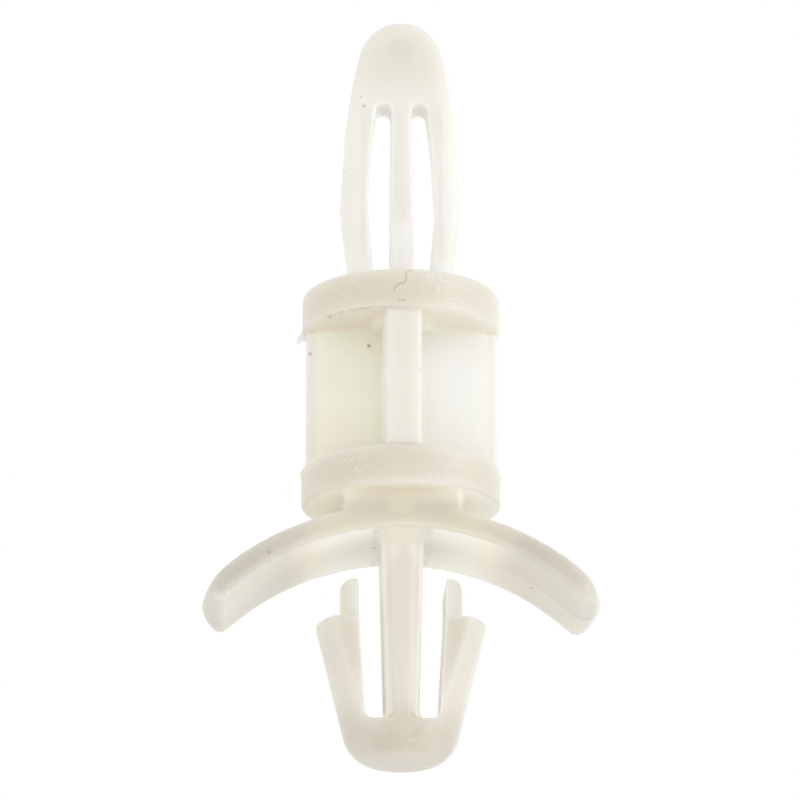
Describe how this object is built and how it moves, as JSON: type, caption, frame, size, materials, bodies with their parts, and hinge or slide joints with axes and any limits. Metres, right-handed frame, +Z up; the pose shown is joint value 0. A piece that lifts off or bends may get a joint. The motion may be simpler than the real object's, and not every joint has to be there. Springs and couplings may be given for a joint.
{
  "type": "circuit board support pillar",
  "caption": "Snap-in circuit board support pillar with a looped spring nose, a cross-ribbed spacer between discs, a bowed spring strip and a barbed arrowhead that snaps into a panel hole.",
  "frame": {"origin": "on the pillar's axis, in the plane of the barb shoulders where the underside of the chassis panel bears", "axes": "+Z up the pillar's axis towards the board nose, X along the bowed spring strip, Y across the strip and along the way the mould opens"},
  "size_m": [0.0146, 0.0074, 0.0288],
  "materials": {
    "natural_nylon": "semi-gloss, milky and slightly translucent natural nylon"
  },
  "bodies": {
    "root": {"support_pillar": "natural_nylon"}
  },
  "joints": []
}
